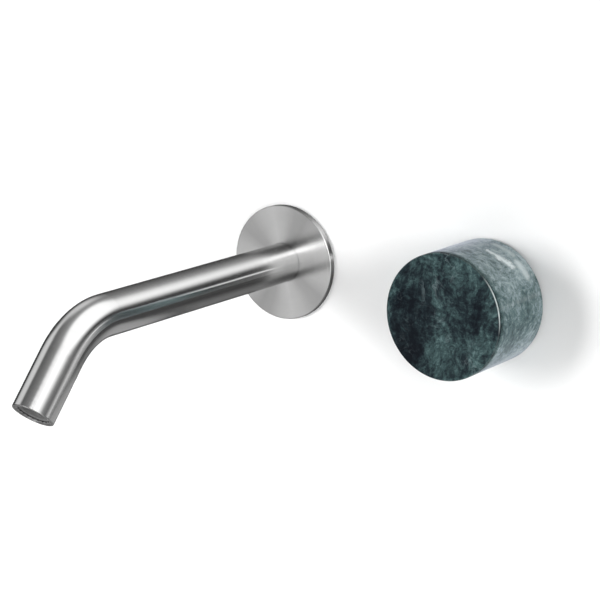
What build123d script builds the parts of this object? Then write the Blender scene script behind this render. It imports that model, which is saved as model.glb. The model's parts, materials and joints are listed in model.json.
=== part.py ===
from build123d import *
import os
from math import cos, radians, sin

# Wall mounted bath faucet: fixed spout, separate round control knob, concealed mixer between them.
# Millimetres. The finished wall is the plane y = 0, the faucet faces -Y, and +Z is up.
# The origin lies on the spout axis, in the wall plane.

# Spout
tube_od = 24.0
tube_id = 21.0
corner_reach = 192.5
leg_length = 55.8
bend_angle = 50.0
bend_radius = 45.0
aerator_r = 9.2
tube_back = -0.6
rosette_d = 70.0
rosette_t = 3.5
rosette_recess_d = 62.0
rosette_recess = 1.5

# Spout fixing
nipple_r = 8.0
nipple_bore_r = 5.5
nipple_front = -31.0
socket_bore_r = 8.05
socket_front = -35.0
grub_y = -12.0
inlet_thread_r = 10.45

# Concealed mixer
knob_x = 140.0
channel_y = 50.0
rear_y = 63.0
chamber_r = 19.0
chamber_front = 14.0
chamber_floor = 42.0
body_r = 25.0
neck_r = 22.0
pipe_r = 7.5
pipe_wall = 1.0
pipe_start = 19.0
pipe_end = 101.0
inlet_offset = 16.0
inlet_boss_r = 12.6
inlet_boss_end = -48.0
port_x = 6.0
port_z = -9.5
port_r = 3.0
outlet_port_z = 2.5

# Bracket and fixings
bracket_t = 2.5
bracket_x0 = -36.0
bracket_x1 = 186.0
bracket_half_z = 30.0
wall_hole_x0 = -27.0
wall_hole_x1 = 177.0
wall_hole_z = 22.0
wall_hole_r = 3.5
wall_neck_r = 3.2
wall_screw_r = 3.0
lug_z = 24.0

# Cartridge
disc_gap = 0.02
stem_r = 5.0
stem_front = -22.0
spline_back = -8.0
spline_teeth = 20

# Knob
knob_r = 36.0
knob_front = -51.0
knob_back = -1.0
knob_edge = 0.5
knob_grub_y = -16.0
carrier_r = 13.0
insert_r = 17.0

# Check valves
valve_seat_z = -31.0
valve_top_z = -16.0
valve_lift = 2.0


def rod_y(x, z, y0, y1, r):
    return Pos(x, (y0 + y1) / 2, z) * Rot(90, 0, 0) * Cylinder(r, y1 - y0)


def rod_x(x0, x1, y, z, r):
    return Pos((x0 + x1) / 2, y, z) * Rot(0, 90, 0) * Cylinder(r, x1 - x0)


def rod_z(x, y, z0, z1, r):
    return Pos(x, y, (z0 + z1) / 2) * Cylinder(r, z1 - z0)


def block(x0, x1, y0, y1, z0, z1):
    size = Box(x1 - x0, y1 - y0, z1 - z0)
    return Pos((x0 + x1) / 2, (y0 + y1) / 2, (z0 + z1) / 2) * size


def hex_y(x, z, y0, y1, flats):
    outline = RegularPolygon(flats / 2, 6, major_radius=False)
    return Pos(x, y0, z) * Rot(-90, 0, 0) * extrude(outline, y1 - y0)


def hex_x(x0, x1, y, z, flats):
    outline = RegularPolygon(flats / 2, 6, major_radius=False)
    return Pos(x0, y, z) * Rot(0, 90, 0) * extrude(outline, x1 - x0)


def hex_z(x, y, z0, z1, flats):
    outline = RegularPolygon(flats / 2, 6, major_radius=False)
    return Pos(x, y, z0) * extrude(outline, z1 - z0)


def ring_y(x, z, y, mean_r, section):
    return Pos(x, y, z) * Rot(90, 0, 0) * Torus(mean_r, section / 2)


def ring_z(x, y, z, mean_r, section):
    return Pos(x, y, z) * Torus(mean_r, section / 2)


# ---------------------------------------------------------------- spout

def leg_point(distance):
    turn = radians(bend_angle)
    return (0, -corner_reach - distance * cos(turn), -distance * sin(turn))


def leg_plane(distance):
    turn = radians(bend_angle)
    return Plane(origin=leg_point(distance), x_dir=(1, 0, 0), z_dir=(0, -cos(turn), -sin(turn)))


def leg_disc(start, end, r):
    return extrude(leg_plane(start) * Circle(r), end - start)


def spout_run(r):
    path = FilletPolyline((0, tube_back, 0), (0, -corner_reach, 0), leg_point(leg_length), radius=bend_radius)
    start = Plane(origin=(0, tube_back, 0), x_dir=(1, 0, 0), z_dir=(0, -1, 0))
    return sweep(start * Circle(r), path=path)


def spout_tube():
    solid = spout_run(tube_od / 2) - spout_run(tube_id / 2)
    solid = solid - rod_z(0, grub_y, -14, -8, 2.6)
    rims = solid.edges().filter_by(GeomType.CIRCLE).group_by(Axis.Y)[0]
    outer = rims.filter_by(lambda e: abs(e.radius - tube_od / 2) < 0.01)
    return fillet(outer, 0.35)


def spout_rosette():
    solid = rod_y(0, 0, -rosette_t, 0, rosette_d / 2)
    solid = solid - rod_y(0, 0, -rosette_recess, 1, rosette_recess_d / 2)
    solid = solid - rod_y(0, 0, -rosette_t - 1, 1, tube_od / 2 + 0.1)
    front = solid.edges().filter_by(GeomType.CIRCLE).filter_by_position(Axis.Y, -rosette_t, -rosette_t)
    outer = front.filter_by(lambda e: abs(e.radius - rosette_d / 2) < 0.01)
    return fillet(outer, 0.4)


def rosette_gasket():
    return rod_y(0, 0, -rosette_recess, 0, 30) - rod_y(0, 0, -3, 3, 15)


def rosette_o_ring():
    return ring_y(0, 0, -rosette_recess + 0.7, tube_od / 2 + 0.7, 1.4)


def spout_socket():
    solid = rod_y(0, 0, socket_front, tube_back, tube_id / 2)
    solid = solid - rod_y(0, 0, socket_front - 1, 1, socket_bore_r)
    return solid - rod_z(0, grub_y, -14, -6, 2.5)


def spout_nipple():
    solid = rod_y(0, 0, nipple_front, 28, nipple_r)
    solid = solid + hex_y(0, 0, 20, 26, 27)
    solid = solid + rod_y(0, 0, 26, 40, inlet_thread_r)
    for groove_y in (-22, -27):
        groove = rod_y(0, 0, groove_y - 1, groove_y + 1, nipple_r + 1)
        solid = solid - (groove - rod_y(0, 0, -40, 0, 6.65))
    groove = rod_y(0, 0, grub_y - 2.8, grub_y + 2.8, nipple_r + 1)
    solid = solid - (groove - rod_y(0, 0, -40, 0, 7.2))
    return solid - rod_y(0, 0, nipple_front - 1, 41, nipple_bore_r)


def nipple_o_ring(y):
    return ring_y(0, 0, y, 7.35, 1.38)


def spout_grub_screw():
    solid = rod_z(0, grub_y, -11.5, -7.25, 2.45)
    return solid - hex_z(0, grub_y, -12, -9.5, 2.5)


def nipple_seal_washer():
    return rod_y(0, 0, 26, 28, 13) - rod_y(0, 0, 25, 29, inlet_thread_r)


def spout_elbow():
    solid = rod_y(0, 0, 28, rear_y, 14)
    solid = solid + rod_x(0, 30, channel_y, 0, 10.5)
    solid = solid + block(-7, 7, 55, rear_y, -lug_z - 7, lug_z + 7)
    solid = solid - rod_y(0, 0, 27, 41, inlet_thread_r)
    solid = solid - rod_y(0, 0, 40, channel_y + 5, 6.5)
    solid = solid - rod_x(0, 31, channel_y, 0, 6)
    solid = solid - rod_x(pipe_start, 31, channel_y, 0, pipe_r)
    for z in (-lug_z, lug_z):
        solid = solid - rod_y(0, z, 54, 64, 2.6)
    return solid


def aerator_housing():
    solid = leg_disc(leg_length - 12, leg_length - 0.6, tube_id / 2)
    solid = solid - leg_disc(leg_length - 13, leg_length, aerator_r)
    slots = Sketch() + [loc * Rectangle(1.3, 1.3) for loc in PolarLocations(aerator_r + 0.25, 20)]
    return solid - extrude(leg_plane(leg_length - 2.2) * slots, 3)


def aerator_insert():
    solid = leg_disc(leg_length - 10.5, leg_length - 1.5, aerator_r)
    solid = solid - leg_disc(leg_length - 4.2, leg_length - 1, 8.2)
    inner = [loc * Circle(0.85) for loc in PolarLocations(3.2, 8)]
    outer = [loc * Circle(0.85) for loc in PolarLocations(6.2, 16)]
    ports = Sketch() + inner + outer
    return solid - extrude(leg_plane(leg_length - 12) * ports, 12)


def aerator_mesh():
    holes = Sketch() + [loc * Rectangle(0.95, 0.95) for loc in GridLocations(1.35, 1.35, 11, 11)]
    sheet = Circle(8.2) - (Circle(7.3) & holes)
    return extrude(leg_plane(leg_length - 2.4) * sheet, 0.5)


def aerator_seal():
    solid = leg_disc(leg_length - 12, leg_length - 10.5, aerator_r)
    return solid - leg_disc(leg_length - 13, leg_length - 10, 7.2)


# ---------------------------------------------------------------- cross pipe

def cross_pipe():
    solid = rod_x(pipe_start, pipe_end + 12, channel_y, 0, pipe_r)
    return solid - rod_x(pipe_start - 1, pipe_end + 13, channel_y, 0, pipe_r - pipe_wall)


def compression_nut(x0):
    solid = hex_x(x0, x0 + 14, channel_y, 0, 24)
    solid = solid - rod_x(x0 - 1, x0 + 15, channel_y, 0, pipe_r)
    return solid


def elbow_compression_nut():
    solid = compression_nut(24)
    return solid - rod_x(23, 34, channel_y, 0, 10.5)


def valve_compression_nut():
    solid = compression_nut(pipe_end - 8)
    return solid - rod_x(pipe_end - 4, pipe_end + 7, channel_y, 0, 10.5)


def olive(x0):
    return rod_x(x0, x0 + 4, channel_y, 0, 9.2) - rod_x(x0 - 1, x0 + 5, channel_y, 0, pipe_r)


# ---------------------------------------------------------------- mixer body

def inlet_cut(side):
    x = knob_x + side * inlet_offset
    cut = rod_z(x, channel_y, inlet_boss_end - 1, -34, inlet_thread_r)
    cut = cut + rod_z(x, channel_y, -35, -14, 9)
    cut = cut + rod_z(x, channel_y, -15, port_z, 4.5)
    near = min(x, knob_x + side * port_x)
    far = max(x, knob_x + side * port_x)
    cut = cut + rod_x(near, far, channel_y, port_z, port_r)
    return cut + rod_y(knob_x + side * port_x, port_z, chamber_floor - 1, channel_y, port_r)


def valve_body():
    solid = rod_y(knob_x, 0, 24, rear_y, body_r)
    solid = solid + rod_y(knob_x, 0, chamber_front, 24, neck_r)
    solid = solid + rod_x(pipe_end, knob_x, channel_y, 0, 10.5)
    solid = solid + block(knob_x - 29, knob_x + 29, 55, rear_y, 14, lug_z + 7)
    for side in (-1, 1):
        x = knob_x + side * inlet_offset
        solid = solid + rod_z(x, channel_y, inlet_boss_end, 0, inlet_boss_r)
    solid = solid - rod_y(knob_x, 0, chamber_front - 1, chamber_floor, chamber_r)
    solid = solid - inlet_cut(-1) - inlet_cut(1)
    solid = solid - rod_x(pipe_end - 1, pipe_end + 12, channel_y, 0, pipe_r)
    solid = solid - rod_x(pipe_end, knob_x, channel_y, 0.5, 4.5)
    solid = solid - rod_y(knob_x, outlet_port_z, chamber_floor - 1, channel_y, port_r)
    groove = rod_y(knob_x, 0, 18, 20, neck_r + 1) - rod_y(knob_x, 0, 17, 21, neck_r - 1.2)
    solid = solid - groove
    for x in (knob_x - 22, knob_x + 22):
        solid = solid - rod_y(x, lug_z, 54, 64, 2.6)
    return solid


def sleeve_o_ring():
    return ring_y(knob_x, 0, 19, neck_r - 0.6, 1.18)


def trim_sleeve():
    solid = rod_y(knob_x, 0, -6, 24, 23.5)
    solid = solid - rod_y(knob_x, 0, -4.5, 25, neck_r)
    return solid - rod_y(knob_x, 0, -7, 0, 9.5)


def union_washer(side):
    x = knob_x + side * inlet_offset
    return rod_z(x, channel_y, -50, inlet_boss_end, 13) - rod_z(x, channel_y, -51, -47, inlet_thread_r)


def inlet_union(side):
    x = knob_x + side * inlet_offset
    solid = rod_z(x, channel_y, -72, -36, inlet_thread_r)
    solid = solid + hex_z(x, channel_y, -57, -50, 26)
    return solid - rod_z(x, channel_y, -73, -35, 7)


def inlet_strainer(side):
    x = knob_x + side * inlet_offset
    solid = rod_z(x, channel_y, -72, -56, 7) - rod_z(x, channel_y, -73, -56.8, 6.3)
    for z in (-68, -65, -62, -59):
        for angle in range(0, 180, 20):
            solid = solid - Pos(x, channel_y, z) * Rot(0, 0, angle) * Box(20, 0.9, 1.2)
    return solid


# ---------------------------------------------------------------- check valves

def check_housing(side):
    x = knob_x + side * inlet_offset
    solid = rod_z(x, channel_y, -34, valve_top_z, 8.9)
    solid = solid - rod_z(x, channel_y, valve_seat_z, valve_top_z - 1.5, 7.4)
    solid = solid - rod_z(x, channel_y, -35, -30, 5.0)
    window = rod_z(x, channel_y, valve_top_z - 2, valve_top_z + 1, 6.2)
    bridge = block(x - 8, x + 8, channel_y - 1.2, channel_y + 1.2, -19, -15)
    guide = rod_z(x, channel_y, -24.4, valve_top_z, 2.4)
    solid = solid - (window - bridge) + guide
    return solid - rod_z(x, channel_y, -25, valve_top_z + 1, 1.3)


def check_poppet(side):
    x = knob_x + side * inlet_offset
    solid = rod_z(x, channel_y, -29.9, -28.1, 5.8)
    solid = solid + rod_z(x, channel_y, -28.1, -17, 1.2)
    return solid + rod_z(x, channel_y, -32.6, -29.9, 1.6)


def check_seal(side):
    x = knob_x + side * inlet_offset
    return rod_z(x, channel_y, -30.9, -29.9, 5.8) - rod_z(x, channel_y, -32, -29, 1.6)


def check_spring(side):
    x = knob_x + side * inlet_offset
    turns = Helix(pitch=2.0, height=9.8, radius=3.6)
    start = Plane(origin=turns @ 0, z_dir=turns % 0)
    coil = sweep(start * Circle(0.35), path=turns)
    return Pos(x, channel_y, -27.7) * coil


# ---------------------------------------------------------------- cartridge

def cartridge_base():
    solid = rod_y(knob_x, 0, 38, chamber_floor, 17.4)
    for side in (-1, 1):
        solid = solid - rod_y(knob_x + side * port_x, port_z, 37, 43, port_r)
        seal = rod_y(knob_x + side * port_x, port_z, 41, 43, port_r + 1.2)
        solid = solid - seal
    solid = solid - rod_y(knob_x, outlet_port_z, 37, 43, port_r)
    return solid - rod_y(knob_x, outlet_port_z, 41, 43, port_r + 1.2)


def port_seals():
    group = []
    for x, z in ((-port_x, port_z), (port_x, port_z), (0, outlet_port_z)):
        solid = rod_y(knob_x + x, z, 41, 42, port_r + 1.2) - rod_y(knob_x + x, z, 40, 43, port_r)
        group.append(solid)
    return Compound(children=group)


def fixed_disc():
    solid = rod_y(knob_x, 0, 34, 38, 15.6)
    for side in (-1, 1):
        solid = solid - rod_y(knob_x + side * port_x, port_z, 33, 39, port_r)
    return solid - rod_y(knob_x, outlet_port_z, 33, 39, port_r)


def moving_disc():
    solid = rod_y(knob_x, 0, 30, 34 - disc_gap, 15)
    pocket = rod_y(knob_x, 4.5, 31.5, 35, 7.5)
    return solid - pocket


def disc_carrier():
    solid = rod_y(knob_x, 0, 25, 30, 14.6)
    return solid - block(knob_x - 4.5, knob_x + 4.5, 24, 28, -4.5, 4.5)


def cartridge_stem():
    solid = rod_y(knob_x, 0, stem_front, 25, stem_r)
    solid = solid + block(knob_x - 4.5, knob_x + 4.5, 24, 28, -4.5, 4.5)
    teeth = Pos(knob_x, stem_front - 1, 0) * Rot(-90, 0, 0)
    for loc in PolarLocations(stem_r + 0.1, spline_teeth):
        solid = solid - teeth * loc * Pos(0, 0, 7) * Box(1.0, 0.75, 16)
    groove = rod_y(knob_x, 0, 11, 13, 6) - rod_y(knob_x, 0, 10, 14, 3.8)
    solid = solid - groove
    return solid - rod_y(knob_x, 0, stem_front - 1, -10, 1.7)


def stem_o_ring():
    return ring_y(knob_x, 0, 12, 4.4, 1.18)


def cartridge_housing():
    solid = rod_y(knob_x, 0, 20, 38, 17.4) + rod_y(knob_x, 0, 4, 20, 8)
    solid = solid - rod_y(knob_x, 0, 23, 39, 15.6)
    return solid - rod_y(knob_x, 0, 3, 24, stem_r + 0.05)


def cartridge_nut():
    solid = rod_y(knob_x, 0, chamber_front - 3, 20, chamber_r)
    solid = solid - rod_y(knob_x, 0, 10, 21, 8.2)
    for turn in range(0, 180, 60):
        slot = Pos(knob_x, 11, 0) * Rot(0, turn, 0) * Box(40, 4, 5)
        core = rod_y(knob_x, 0, 8, 14, 12)
        solid = solid - (slot - core)
    return solid


def body_o_ring():
    return ring_y(knob_x, 0, 36, 18.2, 1.58)


# ---------------------------------------------------------------- knob

def knob_carrier():
    solid = rod_y(knob_x, 0, -26, -8, carrier_r)
    groove = rod_y(knob_x, 0, knob_grub_y - 2.8, knob_grub_y + 2.8, 14) - rod_y(knob_x, 0, -30, 0, 12.2)
    solid = solid - groove
    bore = rod_y(knob_x, 0, stem_front, -7, stem_r)
    teeth = Pos(knob_x, stem_front, 0) * Rot(-90, 0, 0)
    for loc in PolarLocations(stem_r + 0.1, spline_teeth):
        bore = bore - teeth * loc * Pos(0, 0, 7) * Box(1.0, 0.75, 14)
    solid = solid - bore
    return solid - rod_y(knob_x, 0, -27, -20, 2.1)


def carrier_screw():
    solid = rod_y(knob_x, 0, -28.5, -26, 3.6) + rod_y(knob_x, 0, -26, -11, 1.7)
    return solid - hex_y(knob_x, 0, -29, -27, 2.5)


def knob_insert():
    solid = rod_y(knob_x, 0, -34, -8, insert_r) - rod_y(knob_x, 0, -31, -7, carrier_r)
    return solid - rod_z(knob_x, knob_grub_y, -18, -12, 2.45)


def knob_grub_screw():
    solid = rod_z(knob_x, knob_grub_y, -22, -12.25, 2.45)
    return solid - hex_z(knob_x, knob_grub_y, -23, -19.5, 2.5)


def marble_knob():
    solid = rod_y(knob_x, 0, knob_front, knob_back, knob_r)
    rims = solid.edges().filter_by(GeomType.CIRCLE)
    solid = fillet(rims, knob_edge)
    solid = solid - rod_y(knob_x, 0, -8, 0, 26)
    solid = solid - rod_y(knob_x, 0, -34, -7, insert_r)
    return solid - rod_z(knob_x, knob_grub_y, -37, -15, 2.7)


# ---------------------------------------------------------------- bracket and fixings

def mounting_bracket():
    plate = block(bracket_x0, bracket_x1, rear_y, rear_y + bracket_t, -bracket_half_z, bracket_half_z + 3)
    corners = plate.edges().filter_by(Axis.Y)
    plate = fillet(corners, 6)
    middle = block(34, 100, rear_y - 1, rear_y + 4, -18, 18)
    plate = plate - fillet(middle.edges().filter_by(Axis.Y), 6)
    for x in (wall_hole_x0, wall_hole_x1):
        for z in (-wall_hole_z, wall_hole_z):
            plate = plate - rod_y(x, z, 60, 70, wall_hole_r)
    for x, z in bracket_screw_places():
        plate = plate - rod_y(x, z, 60, 70, 2.45)
    return plate


def bracket_screw_places():
    return ((0, -lug_z), (0, lug_z), (knob_x - 22, lug_z), (knob_x + 22, lug_z))


def bracket_screws():
    group = []
    for x, z in bracket_screw_places():
        solid = rod_y(x, z, 51.5, 55, 4.2) + rod_y(x, z, 55, 67, 2.45)
        group.append(solid - hex_y(x, z, 51, 53.5, 4))
    return Compound(children=group)


def wall_places():
    return [(x, z) for x in (wall_hole_x0, wall_hole_x1) for z in (-wall_hole_z, wall_hole_z)]


def wall_screws():
    group = []
    for x, z in wall_places():
        solid = rod_y(x, z, 59, rear_y, 5.8) + rod_y(x, z, rear_y, 66, wall_neck_r)
        solid = solid + rod_y(x, z, 66, 100, wall_screw_r)
        group.append(solid - hex_y(x, z, 58, 61.5, 5))
    return Compound(children=group)


sub_parts = {
    "spout_tube": spout_tube(),
    "spout_rosette": spout_rosette(),
    "rosette_gasket": rosette_gasket(),
    "rosette_o_ring": rosette_o_ring(),
    "spout_socket": spout_socket(),
    "spout_grub_screw": spout_grub_screw(),
    "spout_nipple": spout_nipple(),
    "nipple_o_ring_front": nipple_o_ring(-27),
    "nipple_o_ring_rear": nipple_o_ring(-22),
    "nipple_seal_washer": nipple_seal_washer(),
    "spout_elbow": spout_elbow(),
    "aerator_housing": aerator_housing(),
    "aerator_insert": aerator_insert(),
    "aerator_mesh": aerator_mesh(),
    "aerator_seal": aerator_seal(),
    "cross_pipe": cross_pipe(),
    "elbow_compression_nut": elbow_compression_nut(),
    "elbow_olive": olive(30),
    "valve_compression_nut": valve_compression_nut(),
    "valve_olive": olive(pipe_end - 4),
    "valve_body": valve_body(),
    "hot_inlet_union": inlet_union(-1),
    "cold_inlet_union": inlet_union(1),
    "hot_union_washer": union_washer(-1),
    "cold_union_washer": union_washer(1),
    "hot_strainer": inlet_strainer(-1),
    "cold_strainer": inlet_strainer(1),
    "hot_check_housing": check_housing(-1),
    "cold_check_housing": check_housing(1),
    "hot_check_poppet": check_poppet(-1),
    "cold_check_poppet": check_poppet(1),
    "hot_check_seal": check_seal(-1),
    "cold_check_seal": check_seal(1),
    "hot_check_spring": check_spring(-1),
    "cold_check_spring": check_spring(1),
    "cartridge_base": cartridge_base(),
    "cartridge_port_seals": port_seals(),
    "fixed_disc": fixed_disc(),
    "moving_disc": moving_disc(),
    "disc_carrier": disc_carrier(),
    "cartridge_stem": cartridge_stem(),
    "stem_o_ring": stem_o_ring(),
    "cartridge_housing": cartridge_housing(),
    "cartridge_nut": cartridge_nut(),
    "cartridge_o_ring": body_o_ring(),
    "trim_sleeve": trim_sleeve(),
    "sleeve_o_ring": sleeve_o_ring(),
    "knob_carrier": knob_carrier(),
    "carrier_screw": carrier_screw(),
    "knob_insert": knob_insert(),
    "knob_grub_screw": knob_grub_screw(),
    "marble_knob": marble_knob(),
    "mounting_bracket": mounting_bracket(),
    "bracket_screws": bracket_screws(),
    "wall_screws": wall_screws(),
}

os.makedirs("parts", exist_ok=True)
for name, solid in sub_parts.items():
    export_step(solid, "parts/" + name + ".step")
    print(name, round(solid.volume, 1))
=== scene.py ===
import json
import math
import bpy
from mathutils import Vector, Matrix


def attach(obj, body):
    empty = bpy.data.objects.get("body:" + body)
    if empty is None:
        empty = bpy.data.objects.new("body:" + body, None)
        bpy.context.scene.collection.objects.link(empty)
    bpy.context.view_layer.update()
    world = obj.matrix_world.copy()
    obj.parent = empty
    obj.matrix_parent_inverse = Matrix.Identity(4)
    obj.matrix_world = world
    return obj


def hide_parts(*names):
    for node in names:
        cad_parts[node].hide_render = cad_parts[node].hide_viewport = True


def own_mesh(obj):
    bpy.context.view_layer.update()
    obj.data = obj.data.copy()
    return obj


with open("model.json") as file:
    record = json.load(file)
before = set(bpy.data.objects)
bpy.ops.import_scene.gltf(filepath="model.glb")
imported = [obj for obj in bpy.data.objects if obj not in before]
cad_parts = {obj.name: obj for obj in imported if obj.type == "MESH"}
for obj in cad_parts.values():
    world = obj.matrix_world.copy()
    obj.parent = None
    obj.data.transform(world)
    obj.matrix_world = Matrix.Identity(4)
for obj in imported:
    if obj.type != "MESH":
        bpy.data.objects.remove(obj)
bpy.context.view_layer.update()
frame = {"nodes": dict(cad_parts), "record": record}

nodes = frame["nodes"]
print("frame loaded:", len(nodes), "nodes")


# Node helpers, for a material or a world, since both have a node tree
def newMaterial(name):
    mat = bpy.data.materials.new(name)
    mat.use_nodes = True
    mat.node_tree.nodes.clear()
    return mat


def addNode(mat, kind, **values):
    # a value goes to the node's own setting of that name, or else to its input socket
    node = mat.node_tree.nodes.new(kind)
    for key, value in values.items():
        if hasattr(node, key):
            setattr(node, key, value)
        else:
            node.inputs[key.replace("_", " ")].default_value = value
    return node


def join(mat, fromSocket, toSocket):
    mat.node_tree.links.new(fromSocket, toSocket)


def feed(mat, socket, value):
    # a number, direction or colour is set on the socket itself, and anything else is linked to it
    if isinstance(value, (int, float)):
        socket.default_value = value
    elif isinstance(value, (tuple, Vector)):
        socket.default_value = (*value, 1.0) if socket.type == "RGBA" else value
    else:
        join(mat, value, socket)


def objectPlace(mat):
    return addNode(mat, "ShaderNodeTexCoord").outputs["Object"]


def splitUp(mat, vector):
    node = addNode(mat, "ShaderNodeSeparateXYZ")
    join(mat, vector, node.inputs[0])
    return node.outputs["X"], node.outputs["Y"], node.outputs["Z"]


def combined(mat, x, y, z=0.0):
    node = addNode(mat, "ShaderNodeCombineXYZ")
    for socket, value in zip(node.inputs, (x, y, z)):
        feed(mat, socket, value)
    return node.outputs[0]


def stretched(mat, place, scale, offset=(0, 0, 0)):
    node = addNode(mat, "ShaderNodeMapping", Scale=scale, Location=offset)
    join(mat, place, node.inputs["Vector"])
    return node.outputs["Vector"]


def noise(mat, place, scale, detail=4.0, rough=0.55, warp=0.0, out="Fac"):
    node = addNode(mat, "ShaderNodeTexNoise", Scale=scale, Detail=detail, Roughness=rough, Distortion=warp)
    join(mat, place, node.inputs["Vector"])
    return node.outputs[out]


def ramp(mat, value, stops):
    node = addNode(mat, "ShaderNodeValToRGB")
    elements = node.color_ramp.elements
    while len(elements) < len(stops):
        elements.new(0.5)
    for element, (place, colour) in zip(elements, stops):
        element.position = place
        element.color = (*colour, 1.0)
    join(mat, value, node.inputs["Fac"])
    return node.outputs["Color"]


def scalarRange(mat, value, low, high, outLow, outHigh):
    node = addNode(mat, "ShaderNodeMapRange", From_Min=low, From_Max=high, To_Min=outLow, To_Max=outHigh)
    join(mat, value, node.inputs["Value"])
    return node.outputs["Result"]


def softStep(mat, value, low, high):
    node = addNode(mat, "ShaderNodeMapRange", interpolation_type="SMOOTHSTEP", From_Min=low, From_Max=high)
    join(mat, value, node.inputs["Value"])
    return node.outputs["Result"]


def math2(mat, kind, a, b=0.0):
    node = addNode(mat, "ShaderNodeMath", operation=kind)
    feed(mat, node.inputs[0], a)
    feed(mat, node.inputs[1], b)
    return node.outputs[0]


def weighted(mat, *shares):
    # the sum of every value times its own weight
    total = None
    for value, weight in shares:
        share = math2(mat, "MULTIPLY", value, weight)
        total = share if total is None else math2(mat, "ADD", total, share)
    return total


def vector2(mat, kind, a, b=None, out=0):
    node = addNode(mat, "ShaderNodeVectorMath", operation=kind)
    feed(mat, node.inputs[0], a)
    if b is not None:
        feed(mat, node.inputs[1], b)
    return node.outputs[out]


def scaled(mat, vector, factor):
    node = addNode(mat, "ShaderNodeVectorMath", operation="SCALE")
    feed(mat, node.inputs[0], vector)
    feed(mat, node.inputs["Scale"], factor)
    return node.outputs[0]


def lengthOf(mat, vector):
    return vector2(mat, "LENGTH", vector, out=1)


def mixColour(mat, factor, a, b, blend="MIX"):
    node = addNode(mat, "ShaderNodeMix", data_type="RGBA", blend_type=blend)
    for slot, value in ((0, factor), (6, a), (7, b)):
        feed(mat, node.inputs[slot], value)
    return node.outputs[2]


def finishSurface(mat, shader):
    out = addNode(mat, "ShaderNodeOutputMaterial")
    join(mat, shader.outputs[0], out.inputs["Surface"])
    return mat


def bumped(mat, shader, height, strength, distance):
    node = addNode(mat, "ShaderNodeBump", Strength=strength, Distance=distance)
    join(mat, height, node.inputs["Height"])
    join(mat, node.outputs["Normal"], shader.inputs["Normal"])


def dress(mat, *names):
    for name in names:
        slots = nodes[name].data.materials
        if not slots:
            slots.append(mat)
        for i in range(len(slots)):
            slots[i] = mat


camera = {
    "target": Vector((0.011222, 0.0, -0.022249)),
    "azimuth": 33.984,
    "elevation": 14.343,
    "roll": 2.071,
    "distance": 1.2,
    "lens": 118.42,
    "sensor": 36.0,
    "clip": (0.01, 50),
}


def placeCamera(c):
    a, e, roll = (math.radians(c[k]) for k in ("azimuth", "elevation", "roll"))
    back = Vector((math.sin(a) * math.cos(e), -math.cos(a) * math.cos(e), math.sin(e)))
    right = Vector((math.cos(a), math.sin(a), 0))
    up = back.cross(right)
    turnedRight = right * math.cos(roll) + up * math.sin(roll)
    turnedUp = up * math.cos(roll) - right * math.sin(roll)
    data = bpy.data.cameras.new("studioCamera")
    data.lens = c["lens"]
    data.sensor_width = c["sensor"]
    data.clip_start, data.clip_end = c["clip"]
    obj = bpy.data.objects.new("studioCamera", data)
    bpy.context.scene.collection.objects.link(obj)
    spin = Matrix((turnedRight, turnedUp, back)).transposed()
    obj.matrix_world = Matrix.Translation(c["target"] + back * c["distance"]) @ spin.to_4x4()
    bpy.context.scene.camera = obj


placeCamera(camera)
print("camera placed")


# Drawn and brushed tube. Its highlight runs along the tube, so the tangent turns with the bend.
spoutMetal = {
    "cornerY": -0.1925,         # where the two straight runs of the tube would meet
    "bendHalf": 0.017,          # half the length of the bend along y
    "bendAngle": math.radians(50),
    "grainPerMetre": 5200,
    "grainAcross": 60,
    "cloudStretch": (40, 18, 40),
    "tone": ((0.25, (0.55, 0.55, 0.55)), (0.5, (0.60, 0.60, 0.598)), (0.75, (0.65, 0.65, 0.645))),
    "rough": (0.15, 0.19),
    "anisotropic": 0.85,
    # the underside darkens towards the wall: from y to y, from z up to z, and by how much
    "wallShade": {"y": (-0.040, -0.016), "z": (0.001, 0.007), "amount": 0.28},
}


def fromCorner(mat, place, s):
    return vector2(mat, "SUBTRACT", place, (0.0, s["cornerY"], 0.0))


def tubeMetal(s):
    mat = newMaterial("satinStainlessTube")
    place = objectPlace(mat)
    x, y, z = splitUp(mat, place)
    bend = scalarRange(mat, y, s["cornerY"] + s["bendHalf"], s["cornerY"] - s["bendHalf"], 0, 1)
    run = addNode(mat, "ShaderNodeMix", data_type="VECTOR")
    feed(mat, run.inputs[4], (0, 1, 0))
    feed(mat, run.inputs[5], (0, math.cos(s["bendAngle"]), math.sin(s["bendAngle"])))
    join(mat, bend, run.inputs[0])
    along = run.outputs[1]
    distance = vector2(mat, "DOT_PRODUCT", fromCorner(mat, place, s), along, out=1)
    lines = combined(mat, math2(mat, "MULTIPLY", distance, s["grainPerMetre"]),
                     math2(mat, "MULTIPLY", x, s["grainAcross"]), math2(mat, "MULTIPLY", z, s["grainAcross"]))
    grain = noise(mat, lines, 1.0, 3.0, 0.7)
    cloud = noise(mat, stretched(mat, place, s["cloudStretch"]), 1.0, 3.0)
    tone = ramp(mat, weighted(mat, (grain, 0.6), (cloud, 0.4)), s["tone"])
    shade = s["wallShade"]
    nearWall = scalarRange(mat, y, *shade["y"], 0.0, shade["amount"])
    below = scalarRange(mat, z, *shade["z"], 1.0, 0.0)
    tone = mixColour(mat, math2(mat, "MULTIPLY", nearWall, below), tone, (0.0, 0.0, 0.0))
    shader = addNode(mat, "ShaderNodeBsdfPrincipled", Metallic=1.0, Anisotropic=s["anisotropic"])
    join(mat, tone, shader.inputs["Base Color"])
    join(mat, scalarRange(mat, grain, 0.3, 0.7, *s["rough"]), shader.inputs["Roughness"])
    join(mat, along, shader.inputs["Tangent"])
    bumped(mat, shader, grain, 0.03, 0.00001)
    return finishSurface(mat, shader)


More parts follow.
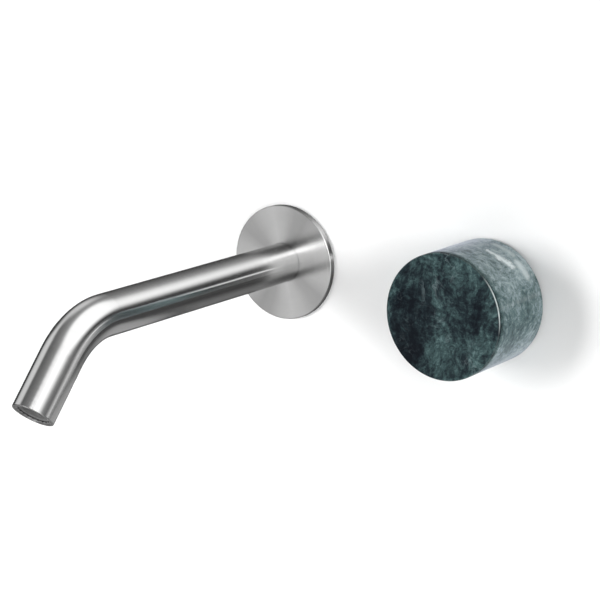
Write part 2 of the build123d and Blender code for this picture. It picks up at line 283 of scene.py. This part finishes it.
rosetteMetal = {
    "ringsPerMetre": 3600,
    "cloudStretch": (50, 50, 50),
    "tone": ((0.25, (0.54, 0.54, 0.54)), (0.75, (0.65, 0.65, 0.645))),
    "rough": (0.22, 0.27),
    "anisotropic": 0.7,
    # painted highlight and shade: how the turning catches the light round the face, painted into the colour by
    # angle over half a turn from +x
    "paintedSectorLight": ((0.0, 1.05), (0.07, 1.1), (0.17, 1.08), (0.25, 0.86), (0.34, 0.64), (0.42, 0.66), (0.5, 0.82),
                (0.585, 0.91), (0.67, 0.85), (0.76, 0.73), (0.83, 0.73), (0.92, 0.97), (1.0, 1.05)),
}


def turnedMetal(s):
    mat = newMaterial("turnedStainlessRosette")
    place = objectPlace(mat)
    x, y, z = splitUp(mat, place)
    flat = vector2(mat, "MULTIPLY", place, (1, 0, 1))
    rings = combined(mat, math2(mat, "MULTIPLY", lengthOf(mat, flat), s["ringsPerMetre"]),
                     math2(mat, "MULTIPLY", y, s["ringsPerMetre"]))
    grain = noise(mat, rings, 1.0, 3.0, 0.7)
    cloud = noise(mat, stretched(mat, place, s["cloudStretch"]), 1.0, 2.0)
    tone = ramp(mat, weighted(mat, (grain, 0.6), (cloud, 0.4)), s["tone"])
    angle = math2(mat, "ARCTAN2", z, x)
    halfTurn = math2(mat, "FRACT", math2(mat, "ADD", math2(mat, "DIVIDE", angle, math.pi), 1.0))
    # painted highlight and shade: the face's colour is made lighter and darker by angle round it
    paintedSectorLight = ramp(mat, halfTurn, [(at, (level,) * 3) for at, level in s["paintedSectorLight"]])
    shader = addNode(mat, "ShaderNodeBsdfPrincipled", Metallic=1.0, Anisotropic=s["anisotropic"])
    join(mat, mixColour(mat, 1.0, tone, paintedSectorLight, "MULTIPLY"), shader.inputs["Base Color"])
    join(mat, scalarRange(mat, grain, 0.3, 0.7, *s["rough"]), shader.inputs["Roughness"])
    facing = addNode(mat, "ShaderNodeNewGeometry").outputs["Normal"]
    around = vector2(mat, "CROSS_PRODUCT", flat, (0, 1, 0))
    across = vector2(mat, "CROSS_PRODUCT", facing, around)
    join(mat, vector2(mat, "NORMALIZE", across), shader.inputs["Tangent"])
    bumped(mat, shader, grain, 0.04, 0.00001)
    return finishSurface(mat, shader)


dress(tubeMetal(spoutMetal), "spout_tube")
dress(turnedMetal(rosetteMetal), "spout_rosette")
print("spout metal done")


# Polished stone: dark and cloudy on the face, more veined round the side, which is also painted paler as a painted
# reflection and carries painted highlights, as does the face's edge
marble = {
    "tones": ((0.43, (0.003, 0.005, 0.008)), (0.49, (0.011, 0.019, 0.023)), (0.55, (0.035, 0.062, 0.064)),
              (0.62, (0.105, 0.170, 0.172)), (0.73, (0.42, 0.52, 0.54))),
    "chalk": (0.42, 0.52, 0.54),
    "milk": (0.78, 0.86, 0.86),
    "warpScale": 45,
    "warpShift": 0.016,
    "patchScale": 26,
    "smearScale": (95, 20, 22),
    "smearOffset": (0.7, 0.1, 0.3),
    "mottleScale": 330,
    "shares": (0.34, 0.26, 0.40),           # patch, smear and mottle in the stone's body
    "rimY": (-0.0508, -0.046),              # from the face to just behind its edge
    # painted reflection: the side is painted paler than the face, in place of the gloss it reflects
    "paintedSideReflection": (0.018, 0.13),
    "sideY": (-0.044, -0.008),
    "sideTone": (-0.02, 0.03),
    "veinScale": 70,
    "veinWidth": 0.02,
    "veinDrift": (-0.0508, -0.012, -0.08, 0.12),
    "veinRegion": (0.44, 0.70, 0.0, 0.45),
    "regionScale": (24, 24, 24),
    "regionOffset": (1.3, 0.2, 0.7),
    "axisX": 0.14,
    "edgeRadius": 0.036,
    "faceY": -0.051,
    "edgeBand": (0.0006, 0.0001),           # how far inside the radius the pale edge starts and is full
    "edgeDepth": (0.0007, 0.0002),          # the same behind the face
    # painted highlight on the face's edge: where it is strongest, and how it fades
    "rimHighlightCentre": (0.1735, -0.051, 0.0135),       # the pale edge is strongest here
    "rimHighlightCentreFade": (0.006, 0.017, 0.95, 0.06),
    "ragged": 0.012,
    "rough": (0.16, 0.26),
    "gloss": (0.05, 0.22),
    "sheen": (-0.0508, -0.044, 0.0, 0.55),
    "core": 0.4,                            # the share of a streak's half width that is fully white
    # white streaks: start, end, half width, strength
    "streaks": (
        ((0.1504, -0.0222, 0.0345), (0.1575, -0.0214, 0.0314), 0.0019, 0.85),
        ((0.1575, -0.0214, 0.0314), (0.1630, -0.0187, 0.0277), 0.0036, 1.0),
        ((0.1632, -0.0105, 0.0275), (0.1693, -0.0103, 0.0210), 0.0034, 0.6),
        ((0.1475, -0.0090, 0.0352), (0.1583, -0.0080, 0.0310), 0.0024, 0.4),
    ),
    # lighter and darker clouds: centre, stretch, near, far, amount. The ones on the face are the stone's clouding;
    # the four lighter ones on the side are painted highlights
    "cloudsAndSideHighlights": (
        ((0.1355, -0.051, 0.000), (1, 1, 0.3), 0.003, 0.015, 0.045),
        ((0.1120, -0.051, -0.006), (1, 1, 1), 0.002, 0.011, 0.035),
        ((0.1130, -0.051, 0.014), (1, 1, 1), 0.004, 0.018, -0.035),
        ((0.1600, -0.051, 0.006), (1, 1, 1), 0.004, 0.016, -0.04),
        ((0.1200, -0.051, -0.030), (1, 1, 1), 0.004, 0.016, -0.04),
        ((0.1270, -0.051, 0.025), (1, 1, 1), 0.004, 0.020, -0.035),
        ((0.1500, -0.051, -0.020), (1, 1, 1), 0.004, 0.018, -0.035),
        ((0.1620, -0.051, -0.024), (1, 1, 1), 0.004, 0.014, -0.03),
        # painted highlights on the side: the upper right, the top and the low right, where the side catches the
        # light
        ((0.1690, -0.0130, 0.0212), (1, 1, 1), 0.002, 0.012, 0.05),
        ((0.1630, -0.0220, 0.0280), (1, 1, 1), 0.008, 0.028, 0.05),
        ((0.1300, -0.0250, 0.0350), (1, 1, 1), 0.008, 0.030, 0.11),
        ((0.1580, -0.0200, -0.0310), (1, 1, 1), 0.006, 0.026, 0.06),
    ),
}


def distanceFrom(mat, place, centre, stretch=None):
    away = vector2(mat, "SUBTRACT", place, centre)
    if stretch:
        away = vector2(mat, "MULTIPLY", away, stretch)
    return lengthOf(mat, away)


def marbleBody(mat, warped, y, mottle, s):
    patch = noise(mat, warped, s["patchScale"], 3.0, 0.5)
    smear = noise(mat, stretched(mat, warped, s["smearScale"], s["smearOffset"]), 1.0, 4.0, 0.6)
    body = weighted(mat, *zip((patch, smear, mottle), s["shares"]))
    # painted reflection: the side is painted paler than the face
    body = math2(mat, "ADD", body, scalarRange(mat, y, *s["rimY"], *s["paintedSideReflection"]))
    body = math2(mat, "ADD", body, scalarRange(mat, y, *s["sideY"], *s["sideTone"]))
    # the stone's clouds, and painted highlights on the side
    for centre, stretch, near, far, amount in s["cloudsAndSideHighlights"]:
        away = distanceFrom(mat, warped, centre, stretch)
        body = math2(mat, "ADD", body, scalarRange(mat, away, near, far, amount, 0.0))
    return ramp(mat, body, s["tones"])


def marbleVeins(mat, place, warped, y, colour, s):
    veinNoise = noise(mat, warped, s["veinScale"], 6.0, 0.6, 0.9)
    ridge = math2(mat, "ABSOLUTE", math2(mat, "SUBTRACT", veinNoise, 0.5))
    line = scalarRange(mat, ridge, 0.0, s["veinWidth"], 1.0, 0.0)
    region = noise(mat, stretched(mat, place, s["regionScale"], s["regionOffset"]), 1.0, 2.0)
    drift = scalarRange(mat, y, *s["veinDrift"])
    strength = scalarRange(mat, math2(mat, "ADD", region, drift), *s["veinRegion"])
    return mixColour(mat, math2(mat, "MULTIPLY", line, strength), colour, s["chalk"])


def marbleEdgeHighlight(mat, place, y, colour, s):
    # a fine pale line painted along the edge of the face, a painted highlight that is strongest at the right
    radius = distanceFrom(mat, place, (s["axisX"], 0.0, 0.0), (1, 0, 1))
    outward = scalarRange(mat, radius, *(s["edgeRadius"] - inset for inset in s["edgeBand"]), 0.0, 1.0)
    forward = scalarRange(mat, y, *(s["faceY"] + depth for depth in s["edgeDepth"]), 0.0, 1.0)
    rightward = scalarRange(mat, distanceFrom(mat, place, s["rimHighlightCentre"]), *s["rimHighlightCentreFade"])
    # painted highlight along the face's edge
    paintedRimHighlight = math2(mat, "MULTIPLY", math2(mat, "MULTIPLY", outward, forward), rightward)
    return mixColour(mat, paintedRimHighlight, colour, s["milk"])


def marbleStreaks(mat, place, mottle, colour, s):
    ragged = math2(mat, "MULTIPLY", math2(mat, "SUBTRACT", mottle, 0.5), s["ragged"])
    for start, end, width, strength in s["streaks"]:
        run = Vector(end) - Vector(start)
        offset = vector2(mat, "SUBTRACT", place, start)
        reach = math2(mat, "DIVIDE", vector2(mat, "DOT_PRODUCT", offset, run, out=1), run.length_squared)
        reach = math2(mat, "MINIMUM", math2(mat, "MAXIMUM", reach, 0), 1)
        gap = lengthOf(mat, vector2(mat, "SUBTRACT", offset, scaled(mat, run, reach)))
        white = scalarRange(mat, math2(mat, "ADD", gap, ragged), width * s["core"], width, strength, 0.0)
        colour = mixColour(mat, white, colour, s["milk"])
    return colour


def polishedMarble(s):
    mat = newMaterial("polishedGreenMarble")
    place = objectPlace(mat)
    y = splitUp(mat, place)[1]
    warp = noise(mat, place, s["warpScale"], 4, 0.5, out="Color")
    shift = scaled(mat, vector2(mat, "SUBTRACT", warp, (0.5, 0.5, 0.5)), s["warpShift"])
    warped = vector2(mat, "ADD", place, shift)
    mottle = noise(mat, warped, s["mottleScale"], 7.0, 0.75)
    colour = marbleBody(mat, warped, y, mottle, s)
    colour = marbleVeins(mat, place, warped, y, colour, s)
    colour = marbleEdgeHighlight(mat, place, y, colour, s)
    colour = marbleStreaks(mat, place, mottle, colour, s)
    shader = addNode(mat, "ShaderNodeBsdfPrincipled", IOR=1.5, Coat_Roughness=0.06, Sheen_Roughness=0.35,
                     Sheen_Tint=(0.80, 0.82, 0.95, 1.0))
    join(mat, colour, shader.inputs["Base Color"])
    join(mat, scalarRange(mat, mottle, 0.3, 0.7, *s["rough"]), shader.inputs["Roughness"])
    gloss = scalarRange(mat, y, *s["rimY"], *s["gloss"])
    join(mat, gloss, shader.inputs["Specular IOR Level"])
    join(mat, gloss, shader.inputs["Coat Weight"])
    join(mat, scalarRange(mat, y, *s["sheen"]), shader.inputs["Sheen Weight"])
    bumped(mat, shader, mottle, 0.03, 0.00003)
    return finishSurface(mat, shader)


dress(polishedMarble(marble), "marble_knob")
print("marble done")


# Every other piece takes its finish from its material slot: a dark and a light tone, a roughness and a grain
def metalFinish(name, low, high, rough, scale, stretch=(1, 1, 1), strength=0.15):
    mat = newMaterial(name)
    place = objectPlace(mat)
    grain = noise(mat, stretched(mat, place, stretch), scale, 4.0, 0.6)
    wear = noise(mat, place, 70, 3.0)
    both = weighted(mat, (grain, 0.5), (wear, 0.5))
    shader = addNode(mat, "ShaderNodeBsdfPrincipled", Metallic=1.0)
    join(mat, ramp(mat, both, ((0.3, low), (0.7, high))), shader.inputs["Base Color"])
    join(mat, scalarRange(mat, both, 0.3, 0.7, rough * 0.8, rough * 1.3), shader.inputs["Roughness"])
    bumped(mat, shader, grain, strength, 0.00005)
    return finishSurface(mat, shader)


def mouldedFinish(name, low, high, rough, scale, strength=0.2, depth=0.00004):
    mat = newMaterial(name)
    place = objectPlace(mat)
    grain = noise(mat, place, scale, 3.0, 0.6)
    cloud = noise(mat, place, 60, 3.0)
    both = weighted(mat, (grain, 0.5), (cloud, 0.5))
    shader = addNode(mat, "ShaderNodeBsdfPrincipled")
    join(mat, ramp(mat, both, ((0.3, low), (0.7, high))), shader.inputs["Base Color"])
    join(mat, scalarRange(mat, grain, 0.3, 0.7, rough * 0.85, rough * 1.2), shader.inputs["Roughness"])
    bumped(mat, shader, grain, strength, depth)
    return finishSurface(mat, shader)


slotLooks = {
    "brass": metalFinish("machinedBrass", (0.58, 0.40, 0.15), (0.74, 0.55, 0.26), 0.28, 900),
    "copper": metalFinish("drawnCopper", (0.55, 0.22, 0.11), (0.78, 0.38, 0.22), 0.3, 700, (0.1, 1, 1)),
    "chromed_sleeve": metalFinish("brightChrome", (0.60, 0.60, 0.61), (0.72, 0.72, 0.73), 0.08, 400, strength=0.03),
    "zinc_steel": metalFinish("zincSteel", (0.36, 0.38, 0.40), (0.55, 0.56, 0.56), 0.42, 260, strength=0.25),
    "stainless_hardware": metalFinish("plainStainless", (0.42, 0.42, 0.42), (0.58, 0.58, 0.57), 0.25, 1200),
    "grey_plastic": mouldedFinish("greyAcetal", (0.09, 0.095, 0.10), (0.16, 0.165, 0.17), 0.45, 1500),
    "dark_plastic": mouldedFinish("darkAcetal", (0.010, 0.010, 0.011), (0.030, 0.030, 0.032), 0.35, 1500),
    "white_plastic": mouldedFinish("whiteAcetal", (0.62, 0.61, 0.57), (0.74, 0.73, 0.69), 0.4, 1200),
    "black_rubber": mouldedFinish("blackRubber", (0.010, 0.010, 0.010), (0.028, 0.028, 0.028), 0.6, 1800),
    "foam_rubber": mouldedFinish("foamRubber", (0.02, 0.02, 0.02), (0.06, 0.06, 0.06), 0.9, 2600, 0.6, 0.0002),
    "disc_ceramic": mouldedFinish("lappedCeramic", (0.72, 0.71, 0.67), (0.82, 0.81, 0.78), 0.15, 600, 0.05),
    "fibre_washer": mouldedFinish("pressedFibre", (0.16, 0.035, 0.02), (0.30, 0.08, 0.05), 0.8, 2200, 0.4, 0.0001),
}
for part in frame["record"]["subparts"]:
    look = slotLooks.get(part["material_slot"])
    if look:
        dress(look, part["node"])


# The aerator's housing is painted near black between its teeth, as painted shade in the slots; the teeth end a
# little short of the tube's tip
aeratorHousing = {
    "raised": ((0.15, 0.15, 0.15), (0.22, 0.22, 0.22)),
    # painted shade: the near black of the slots between the teeth
    "slot": (0.006, 0.006, 0.006),
    "slotEnd": (0.0545, 0.0550),            # distance from the tube's corner
    "grain": 1500,
    "rough": (0.3, 0.4),
}


def toothedAcetal(s):
    mat = newMaterial("toothedAcetal")
    place = objectPlace(mat)
    leg = (0.0, -math.cos(spoutMetal["bendAngle"]), -math.sin(spoutMetal["bendAngle"]))
    along = vector2(mat, "DOT_PRODUCT", fromCorner(mat, place, spoutMetal), leg, out=1)
    grain = noise(mat, place, s["grain"], 3.0, 0.6)
    raised = mixColour(mat, grain, *s["raised"])
    # painted shade in the slots, which lie deeper than the teeth's ends
    slotShade = scalarRange(mat, along, *s["slotEnd"], 1.0, 0.0)
    shader = addNode(mat, "ShaderNodeBsdfPrincipled")
    join(mat, mixColour(mat, slotShade, raised, s["slot"]), shader.inputs["Base Color"])
    join(mat, scalarRange(mat, grain, 0.3, 0.7, *s["rough"]), shader.inputs["Roughness"])
    return finishSurface(mat, shader)


dress(metalFinish("wovenMesh", (0.42, 0.42, 0.42), (0.62, 0.62, 0.62), 0.45, 2200), "aerator_mesh")
dress(mouldedFinish("paleAcetal", (0.15, 0.15, 0.15), (0.20, 0.20, 0.20), 0.35, 1500), "aerator_insert")
dress(toothedAcetal(aeratorHousing), "aerator_housing")

# Pieces wholly behind the wall face stay out of the reflections in the polished pieces in front of it
wallFaceY = -0.0001
for obj in nodes.values():
    if min(corner[1] for corner in obj.bound_box) > wallFaceY:
        obj.visible_glossy = False
print("plainer pieces done")


# The check valves' springs are copied to coils of their own on the mixer body, and the original pieces are hidden
springPress = {
    "joints": {"hot_check_spring": "hot_check_lift", "cold_check_spring": "cold_check_lift"},
    "lift": 0.002,
    "fixedEnd": -0.0175,        # height of the end that stays still
    "slot": "stainless_hardware",
}


def pressedSpring(name):
    bpy.ops.object.add(type="MESH")
    coil = bpy.context.object
    coil.name = name + "_coil"
    coil.data = nodes[name].data.copy()
    coil.visible_glossy = False
    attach(coil, "mixer")
    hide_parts(name)
    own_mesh(coil)


for name, joint in springPress["joints"].items():
    pressedSpring(name)
print("springs done")


# A plain wall, clear from behind, and a pale floor with a slight glow of its own
studio = {
    "wallCentre": (-0.18, 0.0004, 0),
    "wallSize": (1.0, 1.2),
    "wallColour": (0.82, 0.82, 0.82),
    "floorCentre": (0, 0, -0.75),
    "floorSize": 8,
    "floorColour": (0.80, 0.80, 0.80),
    "floorGlow": 0.7,
    "standing": (math.radians(90), 0, 0),
}


def plane(name, size, place, turn=(0, 0, 0)):
    bpy.ops.object.select_all(action="DESELECT")
    bpy.ops.mesh.primitive_plane_add(size=size, location=place, rotation=turn)
    obj = bpy.context.object
    obj.name = name
    return obj


def paleShader(mat, colour):
    mottle = noise(mat, objectPlace(mat), 6, 3.0)
    shader = addNode(mat, "ShaderNodeBsdfPrincipled", Roughness=0.9, Specular_IOR_Level=0.1)
    shadow = tuple(c * 0.98 for c in colour)
    join(mat, ramp(mat, mottle, ((0.0, shadow), (1.0, colour))), shader.inputs["Base Color"])
    return shader


def oneSidedWall(s):
    mat = newMaterial("plasterWall")
    clear = addNode(mat, "ShaderNodeBsdfTransparent")
    behind = addNode(mat, "ShaderNodeNewGeometry").outputs["Backfacing"]
    ray = addNode(mat, "ShaderNodeLightPath").outputs["Is Camera Ray"]
    blend = addNode(mat, "ShaderNodeMixShader")
    join(mat, math2(mat, "MULTIPLY", behind, ray), blend.inputs[0])
    join(mat, paleShader(mat, s["wallColour"]).outputs[0], blend.inputs[1])
    join(mat, clear.outputs[0], blend.inputs[2])
    return finishSurface(mat, blend)


def glowingFloor(s):
    mat = newMaterial("paleFloor")
    shader = paleShader(mat, s["floorColour"])
    feed(mat, shader.inputs["Emission Color"], s["floorColour"])
    feed(mat, shader.inputs["Emission Strength"], s["floorGlow"])
    return finishSurface(mat, shader)


wall = plane("wallBackdrop", 1, studio["wallCentre"], studio["standing"])
wall.scale = (*studio["wallSize"], 1)
wall.data.materials.append(oneSidedWall(studio))
wall.visible_glossy = False
floor = plane("studioFloor", studio["floorSize"], studio["floorCentre"])
floor.data.materials.append(glowingFloor(studio))
floor.visible_glossy = False


# A pale card low on the wall, seen only in reflections: it lifts the underside of the spout near its tip
lowCard = {
    "place": (0.19, -0.001, -0.24),
    "size": (0.48, 0.28),
    "topEdge": (-0.130, -0.105),
    "strength": 0.5,
}


def reflectedCard(c):
    mat = newMaterial("softCard")
    z = splitUp(mat, objectPlace(mat))[2]
    shade = addNode(mat, "ShaderNodeEmission")
    join(mat, scalarRange(mat, z, *c["topEdge"], c["strength"], 0.0), shade.inputs["Strength"])
    obj = plane("lowCard", 1, c["place"], studio["standing"])
    obj.scale = (*c["size"], 1)
    bpy.ops.object.transform_apply(location=True, rotation=True, scale=True)
    obj.data.materials.append(finishSurface(mat, shade))
    for ray in ("camera", "diffuse", "transmission", "volume_scatter", "shadow"):
        setattr(obj, "visible_" + ray, False)


reflectedCard(lowCard)


# Soft studio lights: place, aim, size in metres, power in watts
lights = {
    "leftLight": ((-0.79, -1.5, 0.15), (0.06, 0, 0), (0.55, 0.7), 23.5),
    "rightLight": ((1.55, -1.25, 0.25), (0.12, 0, 0), (0.8, 0.8), 14.5),
    "fillLight": ((0.4, -1.8, 1.4), (0.06, 0, 0), (1.8, 1.8), 5),
    "rearLight": ((0.4, 1.2, 0.9), (0.06, 0.05, 0), (1.2, 1.2), 26),
}


def softLight(name, place, aim, size, power):
    data = bpy.data.lights.new(name, "AREA")
    data.shape = "RECTANGLE"
    data.size, data.size_y = size
    data.energy = power
    obj = bpy.data.objects.new(name, data)
    bpy.context.scene.collection.objects.link(obj)
    obj.location = place
    direction = Vector(aim) - Vector(place)
    obj.rotation_euler = direction.to_track_quat("-Z", "Y").to_euler()
    obj.visible_glossy = False


for name, settings in lights.items():
    softLight(name, *settings)


# The room seen only in reflections. Angles are degrees: height above the horizon, turn from +y towards +x.
room = {
    "camera": 1.0,
    "diffuse": 0.08,
    "ground": 0.065,
    # the falloff goes from the middle of the light to 90 degrees away from it
    "overhead": {"toward": (0.6, 0.2, 0.75), "height": (17, 34.5), "strength": 1.9,
                 "falloff": ((0.30, 0.84), (0.43, 0.83), (0.459, 0.76), (0.485, 0.62), (0.51, 0.42), (0.585, 0.2),
                             (0.686, 0.14), (0.82, 0.09), (1.0, 0.04))},
    "floorGlow": {"depth": (26, 48), "strength": 0.25},
    "windows": {
        "left": {"turn": (-124, -110, -90, -72), "height": (0, 14, 34, 50), "strength": 0.85},
        "rightLine": {"turn": (20, 32, 52, 64), "height": (0.3, 2.2, 3.4, 6), "strength": 1.5},
        "rightFill": {"turn": (60, 85, 130, 160), "height": (-10, 5, 30, 45), "strength": 0.2},
        "frontColumn": {"turn": (-160, -151, -143, -134), "height": (-75, -55, 15, 34), "strength": 0.6},
    },
    "panels": {
        "low": {"toward": (0.08, 0.94, -0.33), "near": 5, "far": 14, "strength": 0.3},
        "right": {"toward": (0.860, 0.496, -0.122), "near": 0, "far": 24, "strength": 0.9},
        "bend": {"toward": (-0.682, 0.394, 0.616), "near": 6, "far": 27, "strength": 0.7},
        "front": {"toward": (-0.5, -0.82, -0.28), "near": 12, "far": 45, "strength": 0.35},
        "frontRight": {"toward": (0.5, -0.85, 0.1), "near": 30, "far": 46, "strength": 1.25},
        "frontTop": {"toward": (0.280, -0.770, 0.574), "near": 4, "far": 13, "strength": 4.6},
    },
}


def studioRoom(s):
    world = bpy.data.worlds.new("studioRoom")
    bpy.context.scene.world = world
    world.use_nodes = True
    world.node_tree.nodes.clear()
    direction = addNode(world, "ShaderNodeTexCoord").outputs["Generated"]
    x, y, z = splitUp(world, direction)

    def times(a, b):
        return math2(world, "MULTIPLY", a, b)

    def without(share):
        return math2(world, "SUBTRACT", 1.0, share)

    def angleFrom(centre):
        cosine = vector2(world, "DOT_PRODUCT", direction, Vector(centre).normalized(), out=1)
        return times(math2(world, "ARCCOSINE", cosine), math.degrees(1))

    def band(value, start, full, fade, end):
        return times(softStep(world, value, start, full), without(softStep(world, value, fade, end)))

    height = times(math2(world, "ARCSINE", z), math.degrees(1))
    turn = times(math2(world, "ARCTAN2", x, y), math.degrees(1))

    over = s["overhead"]
    stops = [(at, (level,) * 3) for at, level in over["falloff"]]
    falloff = ramp(world, times(angleFrom(over["toward"]), 1 / 90), stops)
    glow = s["floorGlow"]
    shares = [(times(falloff, softStep(world, height, *over["height"])), over["strength"]),
              (softStep(world, times(height, -1.0), *glow["depth"]), glow["strength"])]
    for w in s["windows"].values():
        shares.append((times(band(turn, *w["turn"]), band(height, *w["height"])), w["strength"]))
    for p in s["panels"].values():
        shares.append((without(softStep(world, angleFrom(p["toward"]), p["near"], p["far"])), p["strength"]))
    total = math2(world, "ADD", s["ground"], weighted(world, *shares))

    path = addNode(world, "ShaderNodeLightPath")
    glossy, fromCamera = path.outputs["Is Glossy Ray"], path.outputs["Is Camera Ray"]
    seen = math2(world, "ADD", times(glossy, total), times(without(glossy), s["diffuse"]))
    strength = math2(world, "ADD", times(fromCamera, s["camera"]), times(without(fromCamera), seen))
    shade = addNode(world, "ShaderNodeBackground", Color=(1, 1, 1, 1))
    join(world, strength, shade.inputs["Strength"])
    join(world, shade.outputs[0], addNode(world, "ShaderNodeOutputWorld").inputs["Surface"])
    world.cycles.sampling_method = "NONE"


studioRoom(room)
bpy.context.scene.view_settings.view_transform = "Standard"
print("studio done")
